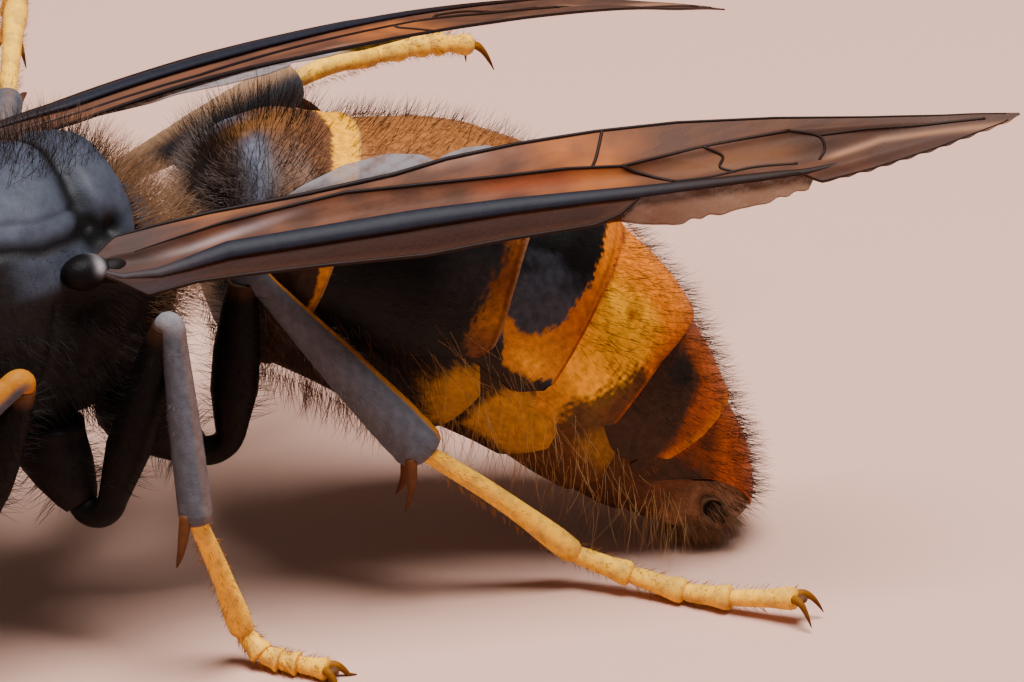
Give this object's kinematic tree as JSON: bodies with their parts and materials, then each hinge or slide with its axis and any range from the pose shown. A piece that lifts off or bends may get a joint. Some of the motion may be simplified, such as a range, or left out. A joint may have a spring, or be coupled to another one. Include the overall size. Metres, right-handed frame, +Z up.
{
  "type": "asian hornet model",
  "caption": "Life-size still model of a yellow-legged hornet with folded wings and its gaster curled down to one side.",
  "frame": {"origin": "middle of the whole model's footprint, on the floor", "axes": "the head faces -Y, the left side is +X, +Z up"},
  "size_m": [0.0262, 0.0378, 0.013],
  "materials": {
    "cuticle_black": "satin",
    "cuticle_slate": "satin",
    "cuticle_brown": "satin",
    "cuticle_orange": "satin",
    "cuticle_yellow": "satin",
    "eye": "glossy",
    "wing": "glossy",
    "hair": "satin"
  },
  "bodies": {
    "root": {"head": "cuticle_orange", "eye_left": "eye", "mandible_left": "cuticle_brown", "antenna_scape_left": "cuticle_orange", "antenna_lash_left": "cuticle_brown", "tegula_left": "cuticle_slate", "forewing_left": "wing", "hindwing_left": "wing", "eye_right": "eye", "mandible_right": "cuticle_brown", "antenna_scape_right": "cuticle_orange", "antenna_lash_right": "cuticle_brown", "tegula_right": "cuticle_slate", "forewing_right": "wing", "hindwing_right": "wing", "pronotum": "cuticle_black", "mesothorax": "cuticle_black", "scutellum": "cuticle_black", "propodeum": "cuticle_black", "gaster_1": "cuticle_brown", "gaster_2": "cuticle_brown", "gaster_3": "cuticle_brown", "gaster_4": "cuticle_orange", "gaster_5": "cuticle_orange", "gaster_6": "cuticle_brown", "coxa_front_left": "cuticle_black", "femur_front_left": "cuticle_black", "tibia_front_left": "cuticle_slate", "tarsus_front_left": "cuticle_yellow", "coxa_front_right": "cuticle_black", "femur_front_right": "cuticle_black", "tibia_front_right": "cuticle_slate", "tarsus_front_right": "cuticle_yellow", "coxa_mid_left": "cuticle_black", "femur_mid_left": "cuticle_black", "tibia_mid_left": "cuticle_slate", "tarsus_mid_left": "cuticle_yellow", "coxa_mid_right": "cuticle_black", "femur_mid_right": "cuticle_black", "tibia_mid_right": "cuticle_slate", "tarsus_mid_right": "cuticle_yellow", "coxa_hind_left": "cuticle_black", "femur_hind_left": "cuticle_black", "tibia_hind_left": "cuticle_slate", "tarsus_hind_left": "cuticle_yellow", "coxa_hind_right": "cuticle_black", "femur_hind_right": "cuticle_black", "tibia_hind_right": "cuticle_slate", "tarsus_hind_right": "cuticle_yellow"}
  },
  "joints": []
}
